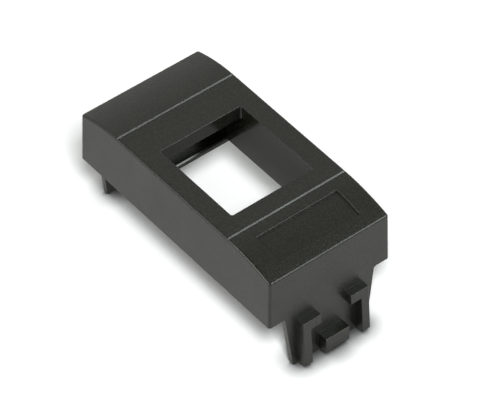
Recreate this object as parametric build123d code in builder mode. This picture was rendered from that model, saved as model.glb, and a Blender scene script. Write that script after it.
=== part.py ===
from build123d import *
import math
import os

# Keystone wall module adapter: one open-backed moulding that fills a 1-module wall opening.
# X runs across the module, Y along it, Z up through the face.
# The origin is on the floor under the middle of the part, which stands on its two snap tabs.
# All sizes are in millimetres.

# Face and skirt
face_width = 22.5        # across the face, where the sides meet the top
face_length = 45.0       # along the face
crown_height = 10.66     # skirt rim to the flat middle of the face
crown_fall = 1.56        # from there down to the top edge at either end
near_crease = -12.69     # where the flat middle runs into the curve towards the near end
far_crease = 13.75       # and towards the far end
side_draft = 1.3         # degrees, the sides open out towards the rim
wall = 1.25              # skirt
face_thickness = 1.9     # plate under the face, outside the jack collar
corner_radius = 0.44     # upright corners, outside
inner_radius = 0.2       # upright corners, inside
edge_radius = 0.38       # round the top of the face
groove_width = 0.46      # the fine line pressed into the face along each crease
groove_depth = 0.16

# Jack window and collar
window_width = 15.4
window_near = -9.3       # edge of the window on the side of the fixed lug
window_far = 7.7         # edge on the side of the latch
window_corner = 0.3
window_edge = 0.12       # round the rim of the window
bezel_thickness = 2.5    # face down to the pockets that the jack's catches enter
collar_clear = 1.0       # the collar stops this far above the skirt rim
collar_wall = 1.25
latch_pocket_depth = 4.4 # beyond the window, behind the bezel
latch_lip_reach = 1.55   # the lip stands back into the pocket this far
latch_lip_height = 0.9
latch_lip_edge = 0.2     # slope on the lip's upper edge
lug_pocket_depth = 1.9
lug_ledge_height = 1.8

# Label field
label_width = 15.4
label_near = -20.2
label_far = -14.9
label_depth = 0.34
label_corner = 0.3
label_edge = 0.12        # round the rim of the field

# Snap tabs
tab_drop = 10.6          # rim down to the feet
tab_thickness = 0.9
tab_root_inset = 2.7     # the tab's root stands in from the sides of the face
tab_foot_inset = 4.1     # and its foot
tab_lean = 2.0           # degrees, the tabs lean out a little further than the wall above
tab_corner = 0.4         # round the feet
tab_root_radius = 0.5    # where the tab's edges run into the rim
post_inset = 1.6         # the middle of either post, in from the edge of the foot
post_width = 1.45
post_reach = 1.45        # how far the posts and their arms stand out at the top
post_lean = 5.0          # degrees, their fronts lean out further than the tab
post_top = 1.4           # below the rim
post_clear = 0.5         # their lower ends stop this far above the feet
arm_end = 2.85           # the arms reach in to this far from the middle
arm_height = 1.85
tooth_width = 4.5
tooth_height = 3.0
tooth_reach = 1.85
tooth_clear = 0.65       # lower edge above the feet
lead_in = 0.35           # slope on the lower front edge of posts and tooth
arm_slope = 0.2          # on the arms
catch_edge = 0.1         # round the front edges of posts, arms and tooth

# Stiffening ribs under the ends of the face
rib_thickness = 0.9
rib_spacing = 11.0
rib_depth = 3.2

# Worked out from the sizes above
draft_angle = math.radians(side_draft)
lean_angle = math.radians(tab_lean)
flare = crown_height * math.tan(draft_angle)
half_length = face_length / 2
rim_width = face_width + 2 * flare
rim_length = face_length + 2 * flare
rim_z = tab_drop
face_z = rim_z + crown_height
end_z = face_z - crown_fall
near_run = half_length + near_crease
far_run = half_length - far_crease
collar_z = rim_z + collar_clear
bezel_z = face_z - bezel_thickness
overrun = 1.0            # cutters run past the faces that they open


def crown_profile(drop, stretch):
    """Side view of the face: flat in the middle, an arc down to either end, lowered by drop."""
    top = face_z - drop
    reach = half_length + stretch
    near_end = (-reach, top - crown_fall * (1 + stretch / near_run) ** 2)
    far_end = (reach, top - crown_fall * (1 + stretch / far_run) ** 2)
    with BuildSketch(Plane.YZ) as profile:
        with BuildLine():
            Line((near_crease, top), (far_crease, top))
            TangentArc((far_crease, top), far_end, tangent=(1, 0))
            TangentArc((near_crease, top), near_end, tangent=(-1, 0))
            Polyline(near_end, (-reach, -overrun), (reach, -overrun), far_end)
        make_face()
    return profile.sketch


def skirt_form(inset, drop):
    """The drafted block under the crowned face, drawn in by inset at the sides and lowered by drop."""
    corner = max(corner_radius - inset, inner_radius)
    with BuildPart() as form:
        with BuildSketch(Plane.XY.offset(rim_z)):
            Rectangle(rim_width - 2 * inset, rim_length - 2 * inset)
        extrude(amount=crown_height, taper=side_draft)
        upright_edges = form.edges().group_by(Axis.Z)[1]
        fillet(upright_edges, corner)
        extrude(crown_profile(drop, flare), amount=face_width, both=True, mode=Mode.INTERSECT)
    return form.part


outer_form = skirt_form(0, 0)
hollow = skirt_form(wall, face_thickness)
web_room = skirt_form(wall / 2, face_thickness / 2)

# The jack collar: two cheeks beside the window, two cross walls that run the full width, and the ribs
collar_near = window_near - lug_pocket_depth - collar_wall
collar_far = window_far + latch_pocket_depth + collar_wall
collar_middle = (collar_near + collar_far) / 2
with BuildPart() as collar:
    with BuildSketch(Plane.XY.offset(collar_z)):
        with Locations((0, collar_middle)):
            Rectangle(window_width + 2 * collar_wall, collar_far - collar_near)
        with Locations((0, collar_near + collar_wall / 2), (0, collar_far - collar_wall / 2)):
            Rectangle(rim_width, collar_wall)
    extrude(amount=crown_height)
    with BuildSketch(Plane.XY.offset(face_z - face_thickness - rib_depth)):
        with Locations((rib_spacing / 2, 0), (-rib_spacing / 2, 0)):
            Rectangle(rib_thickness, rim_length)
    extrude(amount=crown_height)
    add(web_room, mode=Mode.INTERSECT)

# What the jack passes through, with the pocket for its fixed lug and the one for its latch
window_length = window_far - window_near
window_middle = (window_far + window_near) / 2
mouth_far = window_far + latch_pocket_depth - latch_lip_reach
lip_z = collar_z + latch_lip_height
ledge_z = collar_z + lug_ledge_height
with BuildPart() as passage:
    with BuildSketch(Plane.XY.offset(bezel_z)):
        with Locations((0, window_middle)):
            RectangleRounded(window_width, window_length, window_corner)
    extrude(amount=bezel_thickness + overrun)
    with BuildSketch(Plane.YZ.offset(-window_width / 2)):
        with BuildLine():
            Polyline(
                (window_near, rim_z),
                (window_near, ledge_z),
                (window_near - lug_pocket_depth, ledge_z),
                (window_near - lug_pocket_depth, bezel_z),
                (window_far + latch_pocket_depth, bezel_z),
                (window_far + latch_pocket_depth, lip_z),
                (mouth_far + latch_lip_edge, lip_z),
                (mouth_far, lip_z - latch_lip_edge),
                (mouth_far, rim_z),
                close=True,
            )
        make_face()
    extrude(amount=window_width)

# The shallow field for a label follows the curve of the face
with BuildPart() as label_field:
    with BuildSketch(Plane.XY.offset(rim_z)):
        with Locations((0, (label_near + label_far) / 2)):
            RectangleRounded(label_width, label_far - label_near, label_corner)
    extrude(amount=crown_height + overrun)
    extrude(crown_profile(label_depth, flare), amount=face_width, both=True, mode=Mode.SUBTRACT)

# The fine line along each crease
with BuildPart() as grooves:
    for crease in (near_crease, far_crease):
        with BuildSketch(Plane.YZ):
            with BuildLine():
                Polyline(
                    (crease - groove_width / 2, face_z),
                    (crease - groove_width / 2, face_z + overrun),
                    (crease + groove_width / 2, face_z + overrun),
                    (crease + groove_width / 2, face_z),
                    (crease, face_z - groove_depth),
                    close=True,
                )
            make_face()
        extrude(amount=face_width, both=True)

# One snap tab hangs from the rim, level with the outside of the near end wall
tab_face = Plane(
    origin=(0, -rim_length / 2, rim_z),
    x_dir=(1, 0, 0),
    z_dir=(0, -math.cos(lean_angle), math.sin(lean_angle)),
)
inward = Vector(0, 1, 0)


def below_rim(distance):
    """Place on the leaning tab that lies this far below the rim."""
    return -distance / math.cos(lean_angle)


def tab_front(distance):
    """Where the outside of the tab is along Y, this far below the rim."""
    return -rim_length / 2 - distance * math.tan(lean_angle)


def catch(width, middle, top, bottom, reach, lean, slope):
    """A block on the tab with a leaning front, which stands out by reach at the top, and a sloped foot."""
    inside = tab_thickness / 2
    top_front = tab_front(top) - reach
    foot_front = top_front - (bottom - slope - top) * math.tan(math.radians(lean))
    with BuildPart() as block:
        with BuildSketch(Plane.YZ.offset(middle - width / 2)):
            with BuildLine():
                Polyline(
                    (tab_front(top) + inside, rim_z - top),
                    (top_front, rim_z - top),
                    (foot_front, rim_z - bottom + slope),
                    (foot_front + slope, rim_z - bottom),
                    (tab_front(bottom) + inside, rim_z - bottom),
                    close=True,
                )
            make_face()
        extrude(amount=width)
        front = block.faces().sort_by(lambda face: face.normal_at().Y)[0]
        fillet(front.edges(), catch_edge)
    return block.part


tab_root_width = face_width - 2 * tab_root_inset
tab_foot_width = face_width - 2 * tab_foot_inset
post_centre = tab_foot_width / 2 - post_inset
post_bottom = tab_drop - post_clear
arm_width = post_centre - arm_end
arm_middle = (post_centre + arm_end) / 2
arm_bottom = post_top + arm_height
tooth_bottom = tab_drop - tooth_clear
tooth_top = tooth_bottom - tooth_height
with BuildPart() as snap_tab:
    with BuildSketch(tab_face):
        with BuildLine():
            Polyline(
                (-tab_root_width / 2, 0),
                (-tab_foot_width / 2, below_rim(tab_drop)),
                (tab_foot_width / 2, below_rim(tab_drop)),
                (tab_root_width / 2, 0),
                close=True,
            )
        blade = make_face()
        fillet(blade.vertices().group_by(Axis.Y)[0], tab_corner)
    extrude(amount=tab_thickness, dir=inward)
    add(catch(tooth_width, 0, tooth_top, tooth_bottom, tooth_reach, tab_lean, lead_in))

# The near tab also carries two posts, each with an arm that reaches in to form a hook
with BuildPart() as snap_posts:
    for side in (-1, 1):
        add(catch(post_width, side * post_centre, post_top, post_bottom, post_reach, post_lean, lead_in))
        add(catch(arm_width, side * arm_middle, post_top, arm_bottom, post_reach, post_lean, arm_slope))

# The moulding
with BuildPart() as adapter_body:
    add(outer_form)
    crown_edges = adapter_body.edges().filter_by_position(Axis.Z, end_z - edge_radius, face_z + edge_radius)
    inner_edges = crown_edges.filter_by(Axis.X).filter_by_position(Axis.Y, 1 - half_length, half_length - 1)
    fillet(crown_edges - inner_edges, edge_radius)
    add(hollow, mode=Mode.SUBTRACT)
    add(collar.part)
    add(passage.part, mode=Mode.SUBTRACT)
    window_rim = adapter_body.faces().filter_by(Axis.Z).sort_by(Axis.Z)[-1].inner_wires().edges()
    fillet(window_rim, window_edge)
    add(grooves.part, mode=Mode.SUBTRACT)
    add(label_field.part, mode=Mode.SUBTRACT)
    curved_faces = adapter_body.faces().filter_by(GeomType.CYLINDER)
    near_face = curved_faces.filter_by(lambda face: len(face.inner_wires()) == 1)[0]
    fillet(near_face.inner_wires().edges(), label_edge)
    add(snap_tab.part)
    add(snap_tab.part.mirror(Plane.XZ))
    add(snap_posts.part)
    tab_roots = adapter_body.edges().filter_by(Axis.Y, tolerance=0.01).filter_by_position(
        Axis.Z, rim_z - tab_root_radius / 2, rim_z + tab_root_radius / 2)
    side_roots = tab_roots.filter_by(
        lambda edge: abs(abs(edge.center().X) - tab_root_width / 2) < tab_root_radius)
    fillet(side_roots, tab_root_radius)

adapter_body.part.label = "adapter_body"
os.makedirs("parts", exist_ok=True)
export_step(adapter_body.part, "parts/adapter_body.step")
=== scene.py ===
import math

import bpy
from bpy.props import FloatProperty, FloatVectorProperty, PointerProperty
from mathutils import Matrix, Vector

bl_info = {
    "name": "Keystone Wall Module Adapter",
    "version": (1, 0, 0),
    "blender": (4, 5, 0),
    "location": "3D View > Sidebar > Adapter",
    "description": "Moulded finish, stand, light and camera for a one-piece keystone wall module adapter",
    "category": "Object",
}

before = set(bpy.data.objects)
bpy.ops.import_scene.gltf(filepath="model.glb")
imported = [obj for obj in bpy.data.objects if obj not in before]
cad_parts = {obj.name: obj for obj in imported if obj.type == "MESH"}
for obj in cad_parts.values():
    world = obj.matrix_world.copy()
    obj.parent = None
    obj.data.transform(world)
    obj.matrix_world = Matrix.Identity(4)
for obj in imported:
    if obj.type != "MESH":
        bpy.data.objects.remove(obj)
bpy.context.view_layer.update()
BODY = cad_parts["adapter_body"]

# The lamps face this point, half way up the part
LAMP_TARGET = Vector((0.0, 0.0, 0.010))

# Low and high corners, in metres, of boxes round the faces that the core of the mould makes
WINDOW_CORE = ((-0.00775, -0.00935, 0.0110), (0.00775, 0.01220, 0.02118))
UNDER_CORE = ((-0.01050, -0.02170, 0.0101), (0.01050, 0.02170, 0.0194))
CORE_GRAIN = 0.15                # share of the grain that shows on those faces

PIT_SMOOTHNESS = 0.6
FINE_GRAIN = 1.7                 # fine grains to each pit of the mould grain
GRAIN_RANGE = (0.5, 1.2)         # usual lowest and highest value of the grain's height
CLOUD_RANGE = (0.3, 0.7)         # noise values of the darkest and the lightest cloud
CLOUD_SHADE = 0.07               # how far the clouds darken and lighten the plastic
EDGE_WEAR_AND_HIGHLIGHT_RANGE = (0.995, 0.80)        # match of rounded and true normal where the rubbed edge and its painted highlight start and are full

FLOOR_RINGS = (0.02, 0.1, 0.5, 1.0)
FLOOR_SIDES = 96
WHITE = (1.0, 1.0, 1.0)
BLACK = (0.0, 0.0, 0.0)
SENSOR_WIDTH = 36.0              # millimetres
NEAR_CLIP = 0.01
FAR_CLIP = 50.0


class MouldedPlasticSettings(bpy.types.PropertyGroup):
    colour: FloatVectorProperty(
        name="Plastic colour",
        description="Body colour of the anthracite plastic, before grain and rubbed edges",
        subtype="COLOR", size=3, min=0.0, max=1.0,
        default=(0.0082, 0.0084, 0.0057),
    )
    # Lighter edge colour: partly wear from handling, partly a painted highlight that brightens edges
    # whichever way the light falls.
    edge_wear_and_highlight_colour: FloatVectorProperty(
        name="Rubbed and highlit edge colour",
        description="Colour of the plastic's edges, partly polished by handling and partly a painted highlight",
        subtype="COLOR", size=3, min=0.0, max=1.0,
        default=(0.033, 0.034, 0.030),
    )
    roughness: FloatProperty(
        name="Roughness",
        description="Middle roughness of the moulded skin",
        subtype="FACTOR", min=0.0, max=1.0, default=0.34,
    )
    roughness_spread: FloatProperty(
        name="Roughness spread",
        description="How far the roughness wanders either side of the middle",
        subtype="FACTOR", min=0.0, max=0.5, default=0.03,
    )
    core_roughness: FloatProperty(
        name="Inside roughness",
        description="Roughness of the faces that the polished core of the mould makes",
        subtype="FACTOR", min=0.0, max=1.0, default=0.16,
    )
    shine: FloatProperty(
        name="Specular level",
        description="Strength of the plastic's own reflection",
        subtype="FACTOR", min=0.0, max=1.0, default=0.5,
    )
    grain_size: FloatProperty(
        name="Grain size",
        description="Spacing of the fine grain that the mould leaves in the skin",
        unit="LENGTH", min=0.00002, max=0.002, default=0.00028,
    )
    grain_height: FloatProperty(
        name="Grain height",
        description="Depth of that grain",
        unit="LENGTH", min=0.0, max=0.0002, default=0.000020,
    )
    speckle: FloatProperty(
        name="Speckle",
        description="How far the grain lightens and darkens the colour",
        subtype="FACTOR", min=0.0, max=1.0, default=0.75,
    )
    mottle_size: FloatProperty(
        name="Mottle size",
        description="Spacing of the soft clouds in the colour and shine",
        unit="LENGTH", min=0.0005, max=0.05, default=0.005,
    )
    edge_radius: FloatProperty(
        name="Edge softness",
        description="Radius at which sharp moulded edges catch the light",
        unit="LENGTH", min=0.0, max=0.001, default=0.00004,
    )
    # Width of the lighter edge band, which is partly wear and partly a painted highlight.
    edge_wear_and_highlight_width: FloatProperty(
        name="Rub and highlight width",
        description="Width of the edge band that is partly polished by handling and partly a painted highlight",
        unit="LENGTH", min=0.0, max=0.002, default=0.00024,
    )


class StageSettings(bpy.types.PropertyGroup):
    floor_colour: FloatVectorProperty(
        name="Floor colour",
        description="Colour of the plain floor",
        subtype="COLOR", size=3, min=0.0, max=1.0,
        default=(0.86, 0.87, 0.88),
    )
    floor_radius: FloatProperty(
        name="Floor radius",
        description="Radius of the round floor",
        unit="LENGTH", min=0.2, max=20.0, default=4.0,
    )
    contact_reach: FloatProperty(
        name="Contact reach",
        description="How far from the feet their contact shadow reaches",
        unit="LENGTH", min=0.0005, max=0.05, default=0.0036,
    )
    contact_depth: FloatProperty(
        name="Contact depth",
        description="Strength of the contact shadow, where 1 darkens by the covered share of the sky",
        min=0.0, max=6.0, default=2.2,
    )
    mirror_share: FloatProperty(
        name="Share for reflections",
        description="Share of the floor's colour that a reflection sees",
        min=0.0, max=1.0, default=0.52,
    )
    mirror_lift: FloatProperty(
        name="Lift for reflections",
        description="Light added to the floor where a reflection sees it",
        min=0.0, max=2.0, default=0.24,
    )
    key_strength: FloatProperty(
        name="Key strength",
        description="Light from the softbox on a white card that faces it, where 1 is white",
        min=0.0, max=4.0, default=0.58,
    )
    key_colour: FloatVectorProperty(
        name="Key colour",
        description="Colour of the softbox",
        subtype="COLOR", size=3, min=0.0, max=1.0,
        default=(0.93, 1.0, 0.96),
    )
    key_distance: FloatProperty(
        name="Key distance",
        description="Softbox to the middle of the part",
        unit="LENGTH", min=0.1, max=5.0, default=0.6,
    )
    key_width: FloatProperty(
        name="Key width",
        description="Width of the upright softbox",
        unit="LENGTH", min=0.01, max=3.0, default=0.22,
    )
    key_height: FloatProperty(
        name="Key height",
        description="Height of the upright softbox",
        unit="LENGTH", min=0.01, max=3.0, default=0.40,
    )
    key_azimuth: FloatProperty(
        name="Key azimuth",
        description="Way round to the softbox, from the near end towards the right",
        subtype="ANGLE", default=math.radians(41.0),
    )
    key_elevation: FloatProperty(
        name="Key elevation",
        description="Softbox above the horizon",
        subtype="ANGLE", default=math.radians(43.0),
    )
    fill_strength: FloatProperty(
        name="Fill strength",
        description="Light from the fill panel on a white card that faces it, where 1 is white",
        min=0.0, max=4.0, default=0.60,
    )
    fill_colour: FloatVectorProperty(
        name="Fill colour",
        description="Colour of the fill panel",
        subtype="COLOR", size=3, min=0.0, max=1.0,
        default=(1.0, 0.97, 0.93),
    )
    fill_width: FloatProperty(
        name="Fill width",
        description="Width of the fill panel",
        unit="LENGTH", min=0.01, max=3.0, default=0.40,
    )
    fill_height: FloatProperty(
        name="Fill height",
        description="Height of the fill panel",
        unit="LENGTH", min=0.01, max=3.0, default=0.32,
    )
    fill_distance: FloatProperty(
        name="Fill distance",
        description="Fill panel to the middle of the part",
        unit="LENGTH", min=0.1, max=5.0, default=0.6,
    )
    fill_azimuth: FloatProperty(
        name="Fill azimuth",
        description="Way round to the fill panel, from the near end towards the right",
        subtype="ANGLE", default=math.radians(-102.0),
    )
    fill_elevation: FloatProperty(
        name="Fill elevation",
        description="Fill panel above the horizon",
        subtype="ANGLE", default=math.radians(29.0),
    )
    table_strength: FloatProperty(
        name="Table light strength",
        description="Light from the panel that lights only the floor, on a white card that faces it",
        min=0.0, max=4.0, default=1.16,
    )
    table_size: FloatProperty(
        name="Table light size",
        description="Side of the square panel that lights only the floor",
        unit="LENGTH", min=0.01, max=3.0, default=0.13,
    )
    table_distance: FloatProperty(
        name="Table light distance",
        description="Table light to the middle of the part",
        unit="LENGTH", min=0.1, max=5.0, default=0.6,
    )
    table_azimuth: FloatProperty(
        name="Table light azimuth",
        description="Way round to the table light, from the near end towards the right",
        subtype="ANGLE", default=math.radians(-33.4),
    )
    table_elevation: FloatProperty(
        name="Table light elevation",
        description="Table light above the horizon",
        subtype="ANGLE", default=math.radians(52.8),
    )
    horizon_colour: FloatVectorProperty(
        name="Horizon colour",
        description="Light of the room at the height of the part, where 1 is white",
        subtype="COLOR", size=3, min=0.0, max=2.0,
        default=(0.73, 0.73, 0.71),
    )
    middle_colour: FloatVectorProperty(
        name="Middle colour",
        description="Light of the room half way up",
        subtype="COLOR", size=3, min=0.0, max=2.0,
        default=(0.70, 0.71, 0.68),
    )
    middle_height: FloatProperty(
        name="Middle height",
        description="Height above the horizon at which the room has the middle colour",
        subtype="ANGLE", default=math.radians(46.0),
    )
    ceiling_height: FloatProperty(
        name="Ceiling height",
        description="Height above the horizon from which the room has the ceiling's colour",
        subtype="ANGLE", default=math.radians(68.0),
    )
    ceiling_colour: FloatVectorProperty(
        name="Ceiling colour",
        description="Light of the room above",
        subtype="COLOR", size=3, min=0.0, max=2.0,
        default=(0.09, 0.09, 0.07),
    )


class CameraSettings(bpy.types.PropertyGroup):
    azimuth: FloatProperty(
        name="Azimuth",
        description="Way round to the camera, from the near end towards the right",
        subtype="ANGLE", default=math.radians(-39.081),
    )
    elevation: FloatProperty(
        name="Elevation",
        description="Camera above the horizon",
        subtype="ANGLE", default=math.radians(46.081),
    )
    roll: FloatProperty(
        name="Roll",
        description="Turn of the camera about its own line of sight",
        subtype="ANGLE", default=math.radians(0.174),
    )
    distance: FloatProperty(
        name="Distance",
        description="Camera to the middle of the skirt's rim",
        unit="LENGTH", min=0.05, max=5.0, default=0.5414,
    )
    slide_right: FloatProperty(
        name="Slide right",
        description="Sideways step of the camera that frames the part as in the photo",
        unit="LENGTH", default=0.002550,
    )
    slide_up: FloatProperty(
        name="Slide up",
        description="Upward step of the camera",
        unit="LENGTH", default=-0.000131,
    )
    rim_height: FloatProperty(
        name="Rim height",
        description="Floor to the skirt's rim, which the camera turns about",
        unit="LENGTH", default=0.0106,
    )
    lens: FloatProperty(
        name="Lens",
        description="Focal length on a sensor 36 mm wide, in millimetres",
        min=10.0, max=1000.0, default=258.717,
    )


def node(tree, kind, **settings):
    """Add a shader node with the given settings."""
    made = tree.nodes.new(kind)
    for name, value in settings.items():
        setattr(made, name, value)
    return made


def grain_height_field(tree, place, size):
    """Height of the mould grain: close pits of one size over finer noise."""
    pits = node(tree, "ShaderNodeTexVoronoi", feature="SMOOTH_F1")
    pits.inputs["Scale"].default_value = 1.0 / size
    pits.inputs["Smoothness"].default_value = PIT_SMOOTHNESS
    fine = node(tree, "ShaderNodeTexNoise")
    fine.inputs["Scale"].default_value = FINE_GRAIN / size
    fine.inputs["Detail"].default_value = 2.0
    both = node(tree, "ShaderNodeMath", operation="ADD")
    tree.links.new(place, pits.inputs["Vector"])
    tree.links.new(place, fine.inputs["Vector"])
    tree.links.new(pits.outputs["Distance"], both.inputs[0])
    tree.links.new(fine.outputs["Fac"], both.inputs[1])
    return both.outputs[0]


def inside_box(tree, place, low, high):
    """1 for points within a box and 0 outside it."""
    centre = [(a + b) / 2 for a, b in zip(low, high)]
    half = [(b - a) / 2 for a, b in zip(low, high)]
    away = node(tree, "ShaderNodeVectorMath", operation="SUBTRACT")
    away.inputs[1].default_value = centre
    size = node(tree, "ShaderNodeVectorMath", operation="ABSOLUTE")
    parts = node(tree, "ShaderNodeSeparateXYZ")
    tree.links.new(place, away.inputs[0])
    tree.links.new(away.outputs[0], size.inputs[0])
    tree.links.new(size.outputs[0], parts.inputs[0])
    within = None
    for axis, reach in enumerate(half):
        less = node(tree, "ShaderNodeMath", operation="LESS_THAN")
        less.inputs[1].default_value = reach
        tree.links.new(parts.outputs[axis], less.inputs[0])
        if within is None:
            within = less.outputs[0]
            continue
        both = node(tree, "ShaderNodeMath", operation="MULTIPLY")
        tree.links.new(within, both.inputs[0])
        tree.links.new(less.outputs[0], both.inputs[1])
        within = both.outputs[0]
    return within


def core_mask(tree, place):
    """1 on the faces that the core makes: the window's walls and everything under the face."""
    window = inside_box(tree, place, *WINDOW_CORE)
    under = inside_box(tree, place, *UNDER_CORE)
    either = node(tree, "ShaderNodeMath", operation="MAXIMUM")
    tree.links.new(window, either.inputs[0])
    tree.links.new(under, either.inputs[1])
    return either.outputs[0]


def edge_mask(tree, width):
    """0 on open faces and towards 1 on sharp edges, where a rounded normal leaves the true one."""
    rounded = node(tree, "ShaderNodeBevel", samples=8)
    rounded.inputs["Radius"].default_value = width
    flat = node(tree, "ShaderNodeNewGeometry")
    match = node(tree, "ShaderNodeVectorMath", operation="DOT_PRODUCT")
    spread = node(tree, "ShaderNodeMapRange")
    spread.inputs["From Min"].default_value = EDGE_WEAR_AND_HIGHLIGHT_RANGE[0]
    spread.inputs["From Max"].default_value = EDGE_WEAR_AND_HIGHLIGHT_RANGE[1]
    tree.links.new(rounded.outputs["Normal"], match.inputs[0])
    tree.links.new(flat.outputs["Normal"], match.inputs[1])
    tree.links.new(match.outputs["Value"], spread.inputs["Value"])
    return spread.outputs["Result"]


def clouded_colour(tree, clouds, colour):
    """The plastic's colour, a little darker and lighter in soft clouds."""
    ramp = node(tree, "ShaderNodeValToRGB")
    shades = (1 - CLOUD_SHADE, 1 + CLOUD_SHADE)
    for stop, level, shade in zip(ramp.color_ramp.elements, CLOUD_RANGE, shades):
        stop.position = level
        stop.color = (*(Vector(colour) * shade), 1.0)
    tree.links.new(clouds, ramp.inputs["Fac"])
    return ramp.outputs["Color"]


def flecked_colour(tree, colour, height, speckle):
    """The same colour, darker in the pits of the grain and lighter on its tops."""
    fleck = node(tree, "ShaderNodeMapRange")
    fleck.inputs["From Min"].default_value = GRAIN_RANGE[0]
    fleck.inputs["From Max"].default_value = GRAIN_RANGE[1]
    fleck.inputs["To Min"].default_value = 1.0 - speckle
    fleck.inputs["To Max"].default_value = 1.0 + speckle
    flecked = node(tree, "ShaderNodeVectorMath", operation="SCALE")
    tree.links.new(height, fleck.inputs["Value"])
    tree.links.new(colour, flecked.inputs[0])
    tree.links.new(fleck.outputs["Result"], flecked.inputs["Scale"])
    return flecked.outputs[0]


def worn_and_highlit_edges(tree, colour, clouds, settings):
    """The same colour, lighter in a patchy band along sharp edges: partly wear from handling, partly a
    painted highlight.
    """
    wear_and_highlight = node(tree, "ShaderNodeMath", operation="MULTIPLY")
    tint = node(tree, "ShaderNodeMix", data_type="RGBA")
    tint.inputs["B"].default_value = (*settings.edge_wear_and_highlight_colour, 1.0)
    tree.links.new(edge_mask(tree, settings.edge_wear_and_highlight_width), wear_and_highlight.inputs[0])
    tree.links.new(clouds, wear_and_highlight.inputs[1])
    tree.links.new(wear_and_highlight.outputs[0], tint.inputs["Factor"])
    tree.links.new(colour, tint.inputs["A"])
    return tint.outputs["Result"]


def skin_roughness(tree, clouds, core, settings):
    """Satin outside that wanders with the clouds, and glossier on the core's faces."""
    satin = node(tree, "ShaderNodeMapRange")
    satin.inputs["From Min"].default_value = CLOUD_RANGE[0]
    satin.inputs["From Max"].default_value = CLOUD_RANGE[1]
    satin.inputs["To Min"].default_value = settings.roughness + settings.roughness_spread
    satin.inputs["To Max"].default_value = settings.roughness - settings.roughness_spread
    both = node(tree, "ShaderNodeMix", data_type="FLOAT")
    both.inputs["B"].default_value = settings.core_roughness
    tree.links.new(clouds, satin.inputs["Value"])
    tree.links.new(core, both.inputs["Factor"])
    tree.links.new(satin.outputs["Result"], both.inputs["A"])
    return both.outputs["Result"]


def grained_normal(tree, height, core, settings):
    """Softened edges under the grain, which is fainter on the core's faces."""
    soft = node(tree, "ShaderNodeBevel", samples=6)
    soft.inputs["Radius"].default_value = settings.edge_radius
    depth = node(tree, "ShaderNodeMapRange")
    depth.inputs["To Min"].default_value = 1.0
    depth.inputs["To Max"].default_value = CORE_GRAIN
    grain = node(tree, "ShaderNodeBump")
    grain.inputs["Distance"].default_value = settings.grain_height
    tree.links.new(core, depth.inputs["Value"])
    tree.links.new(depth.outputs["Result"], grain.inputs["Strength"])
    tree.links.new(height, grain.inputs["Height"])
    tree.links.new(soft.outputs["Normal"], grain.inputs["Normal"])
    return grain.outputs["Normal"]


def moulded_plastic(settings):
    """Satin anthracite moulding: fine grain, faint clouds, and edges lightened a little, partly by wear
    and partly as a painted highlight.
    """
    material = bpy.data.materials.new("anthracite_moulding")
    material.use_nodes = True
    tree = material.node_tree
    skin = tree.nodes["Principled BSDF"]
    skin.inputs["Specular IOR Level"].default_value = settings.shine
    place = node(tree, "ShaderNodeTexCoord").outputs["Object"]
    noise = node(tree, "ShaderNodeTexNoise")
    noise.inputs["Scale"].default_value = 1.0 / settings.mottle_size
    noise.inputs["Detail"].default_value = 4.0
    noise.inputs["Roughness"].default_value = 0.6
    tree.links.new(place, noise.inputs["Vector"])
    clouds = noise.outputs["Fac"]
    height = grain_height_field(tree, place, settings.grain_size)
    core = core_mask(tree, place)

    colour = clouded_colour(tree, clouds, settings.colour)
    colour = flecked_colour(tree, colour, height, settings.speckle)
    # Edges lightened: partly wear, partly a painted highlight.
    colour = worn_and_highlit_edges(tree, colour, clouds, settings)
    tree.links.new(colour, skin.inputs["Base Color"])
    tree.links.new(skin_roughness(tree, clouds, core, settings), skin.inputs["Roughness"])
    tree.links.new(grained_normal(tree, height, core, settings), skin.inputs["Normal"])
    return material


def floor_finish(settings):
    """Pale floor with a contact shadow at the feet, evened out in reflections and clear from below."""
    material = bpy.data.materials.new("plain_floor")
    material.use_nodes = True
    tree = material.node_tree
    tree.nodes.clear()
    covered = node(tree, "ShaderNodeAmbientOcclusion", samples=12)
    covered.inputs["Distance"].default_value = settings.contact_reach
    deeper = node(tree, "ShaderNodeMath", operation="POWER")
    deeper.inputs[1].default_value = settings.contact_depth
    ray = node(tree, "ShaderNodeLightPath")
    share = node(tree, "ShaderNodeMapRange")
    share.inputs["To Min"].default_value = 1.0
    share.inputs["To Max"].default_value = settings.mirror_share
    level = node(tree, "ShaderNodeMath", operation="MULTIPLY")
    shade = node(tree, "ShaderNodeMix", data_type="RGBA")
    shade.inputs["A"].default_value = (*BLACK, 1.0)
    shade.inputs["B"].default_value = (*settings.floor_colour, 1.0)
    matt = node(tree, "ShaderNodeBsdfDiffuse")
    glow = node(tree, "ShaderNodeMath", operation="MULTIPLY")
    glow.inputs[1].default_value = settings.mirror_lift
    lift = node(tree, "ShaderNodeEmission")
    both = node(tree, "ShaderNodeAddShader")
    clear = node(tree, "ShaderNodeBsdfTransparent")
    side = node(tree, "ShaderNodeNewGeometry")
    pick = node(tree, "ShaderNodeMixShader")
    out = node(tree, "ShaderNodeOutputMaterial")
    tree.links.new(covered.outputs["AO"], deeper.inputs[0])
    tree.links.new(ray.outputs["Is Glossy Ray"], share.inputs["Value"])
    tree.links.new(deeper.outputs[0], level.inputs[0])
    tree.links.new(share.outputs["Result"], level.inputs[1])
    tree.links.new(level.outputs[0], shade.inputs["Factor"])
    tree.links.new(shade.outputs["Result"], matt.inputs["Color"])
    tree.links.new(side.outputs["Backfacing"], pick.inputs[0])
    tree.links.new(ray.outputs["Is Glossy Ray"], glow.inputs[0])
    tree.links.new(glow.outputs[0], lift.inputs["Strength"])
    tree.links.new(matt.outputs[0], both.inputs[0])
    tree.links.new(lift.outputs[0], both.inputs[1])
    tree.links.new(both.outputs[0], pick.inputs[1])
    tree.links.new(clear.outputs[0], pick.inputs[2])
    tree.links.new(pick.outputs[0], out.inputs["Surface"])
    return material


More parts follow.
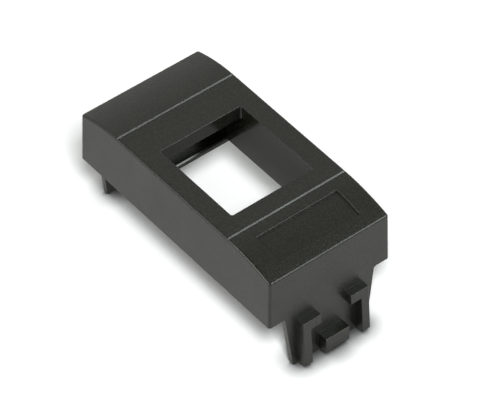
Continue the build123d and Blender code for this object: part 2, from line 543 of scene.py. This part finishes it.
def round_floor(settings):
    """A disc under the part's feet, cut finer towards its middle."""
    points = [(0.0, 0.0, 0.0)]
    for share in FLOOR_RINGS:
        radius = share * settings.floor_radius
        for i in range(FLOOR_SIDES):
            turn = 2 * math.pi * i / FLOOR_SIDES
            points.append((radius * math.cos(turn), radius * math.sin(turn), 0.0))
    faces = [(0, 1 + i, 1 + (i + 1) % FLOOR_SIDES) for i in range(FLOOR_SIDES)]
    for ring in range(len(FLOOR_RINGS) - 1):
        inner = 1 + ring * FLOOR_SIDES
        outer = inner + FLOOR_SIDES
        for i in range(FLOOR_SIDES):
            after = (i + 1) % FLOOR_SIDES
            faces.append((inner + i, outer + i, outer + after, inner + after))
    mesh = bpy.data.meshes.new("floor")
    mesh.from_pydata(points, [], faces)
    mesh.materials.append(floor_finish(settings))
    floor = bpy.data.objects.new("floor", mesh)
    bpy.context.scene.collection.objects.link(floor)
    return floor


def direction(azimuth, elevation):
    """Unit vector away from the part: azimuth 0 points to the near end, and turns towards the right."""
    return Vector((
        math.sin(azimuth) * math.cos(elevation),
        -math.cos(azimuth) * math.cos(elevation),
        math.sin(elevation),
    ))


def soft_panel(name, way, distance, size, strength, colour):
    """A square-cornered area light that faces the part. Strength 1 lights a white card there to white."""
    lamp = bpy.data.lights.new(name, "AREA")
    lamp.shape = "RECTANGLE"
    lamp.size, lamp.size_y = size
    lamp.color = colour
    lamp.energy = strength * math.pi ** 2 * distance ** 2
    panel = bpy.data.objects.new(name, lamp)
    panel.location = LAMP_TARGET + way * distance
    panel.rotation_mode = "QUATERNION"
    panel.rotation_quaternion = (-way).to_track_quat("-Z", "Y")
    bpy.context.scene.collection.objects.link(panel)
    return panel


def link_to_floor(panel, floor, state):
    """Keep a panel's light to the floor alone with INCLUDE, or off the floor with EXCLUDE."""
    group = bpy.data.collections.new(panel.name + "_floor")
    group.objects.link(floor)
    group.collection_objects[0].light_linking.link_state = state
    panel.light_linking.receiver_collection = group


def room_light(settings):
    """Even light from all round, which the camera sees as white behind the floor's edge."""
    world = bpy.data.worlds.new("plain_room")
    bpy.context.scene.world = world
    world.use_nodes = True
    tree = world.node_tree
    tree.nodes.clear()
    way = node(tree, "ShaderNodeTexCoord")
    parts = node(tree, "ShaderNodeSeparateXYZ")
    height = node(tree, "ShaderNodeValToRGB")
    height.color_ramp.elements.new(math.sin(settings.middle_height))
    height.color_ramp.elements[2].position = math.sin(settings.ceiling_height)
    levels = (settings.horizon_colour, settings.middle_colour, settings.ceiling_colour)
    for stop, level in zip(height.color_ramp.elements, levels):
        stop.color = (*level, 1.0)
    room = node(tree, "ShaderNodeBackground")
    tree.links.new(way.outputs["Generated"], parts.inputs[0])
    tree.links.new(parts.outputs["Z"], height.inputs["Fac"])
    tree.links.new(height.outputs["Color"], room.inputs["Color"])
    white = node(tree, "ShaderNodeBackground")
    ray = node(tree, "ShaderNodeLightPath")
    pick = node(tree, "ShaderNodeMixShader")
    out = node(tree, "ShaderNodeOutputWorld")
    tree.links.new(ray.outputs["Is Camera Ray"], pick.inputs[0])
    tree.links.new(room.outputs[0], pick.inputs[1])
    tree.links.new(white.outputs[0], pick.inputs[2])
    tree.links.new(pick.outputs[0], out.inputs["Surface"])


def photo_camera(settings):
    """The camera at the photo's viewing angle."""
    back = direction(settings.azimuth, settings.elevation)
    level = Vector((math.cos(settings.azimuth), math.sin(settings.azimuth), 0.0))
    above = back.cross(level)
    right = level * math.cos(settings.roll) + above * math.sin(settings.roll)
    up = above * math.cos(settings.roll) - level * math.sin(settings.roll)
    place = back * settings.distance + right * settings.slide_right + up * settings.slide_up
    place.z += settings.rim_height
    data = bpy.data.cameras.new("photo_camera")
    data.sensor_width = SENSOR_WIDTH
    data.lens = settings.lens
    data.clip_start = NEAR_CLIP
    data.clip_end = FAR_CLIP
    camera = bpy.data.objects.new("photo_camera", data)
    turned = Matrix((right, up, back)).transposed().to_4x4()
    camera.matrix_world = Matrix.Translation(place) @ turned
    bpy.context.scene.collection.objects.link(camera)
    bpy.context.scene.camera = camera


class ADAPTER_OT_finish_moulding(bpy.types.Operator):
    """Give the moulding its satin anthracite plastic"""
    bl_idname = "adapter.finish_moulding"
    bl_label = "Finish the moulding"

    def execute(self, context):
        if not BODY.material_slots:
            raise RuntimeError("the adapter body came without a material slot")
        plastic = moulded_plastic(context.scene.adapter_plastic)
        for place in BODY.material_slots:
            place.link = "OBJECT"
            place.material = plastic
        return {"FINISHED"}


class ADAPTER_OT_set_stage(bpy.types.Operator):
    """Lay the floor, hang the lights and set up the camera"""
    bl_idname = "adapter.set_stage"
    bl_label = "Set the stage"

    def execute(self, context):
        stage = context.scene.adapter_stage
        floor = round_floor(stage)
        key = soft_panel(
            "key_softbox", direction(stage.key_azimuth, stage.key_elevation), stage.key_distance,
            (stage.key_width, stage.key_height), stage.key_strength, stage.key_colour)
        fill = soft_panel(
            "fill_panel", direction(stage.fill_azimuth, stage.fill_elevation), stage.fill_distance,
            (stage.fill_width, stage.fill_height), stage.fill_strength, stage.fill_colour)
        table = soft_panel(
            "table_light", direction(stage.table_azimuth, stage.table_elevation), stage.table_distance,
            (stage.table_size, stage.table_size), stage.table_strength, WHITE)
        link_to_floor(key, floor, "EXCLUDE")
        link_to_floor(fill, floor, "EXCLUDE")
        link_to_floor(table, floor, "INCLUDE")
        room_light(stage)
        photo_camera(context.scene.adapter_camera)
        context.scene.view_settings.view_transform = "Standard"
        return {"FINISHED"}


class ADAPTER_PT_sidebar(bpy.types.Panel):
    bl_idname = "ADAPTER_PT_sidebar"
    bl_label = "Wall Module Adapter"
    bl_space_type = "VIEW_3D"
    bl_region_type = "UI"
    bl_category = "Adapter"

    def draw(self, context):
        steps = (
            (context.scene.adapter_plastic, ADAPTER_OT_finish_moulding),
            (context.scene.adapter_stage, ADAPTER_OT_set_stage),
            (context.scene.adapter_camera, None),
        )
        for settings, step in steps:
            box = self.layout.box()
            for name in settings.__annotations__:
                box.prop(settings, name)
            if step:
                box.operator(step.bl_idname)


CLASSES = (
    MouldedPlasticSettings,
    StageSettings,
    CameraSettings,
    ADAPTER_OT_finish_moulding,
    ADAPTER_OT_set_stage,
    ADAPTER_PT_sidebar,
)


def register():
    for each in CLASSES:
        bpy.utils.register_class(each)
    bpy.types.Scene.adapter_plastic = PointerProperty(type=MouldedPlasticSettings)
    bpy.types.Scene.adapter_stage = PointerProperty(type=StageSettings)
    bpy.types.Scene.adapter_camera = PointerProperty(type=CameraSettings)


def unregister():
    del bpy.types.Scene.adapter_camera
    del bpy.types.Scene.adapter_stage
    del bpy.types.Scene.adapter_plastic
    for each in reversed(CLASSES):
        bpy.utils.unregister_class(each)


def main():
    register()
    bpy.ops.adapter.finish_moulding()
    bpy.ops.adapter.set_stage()


if __name__ == "__main__":
    main()
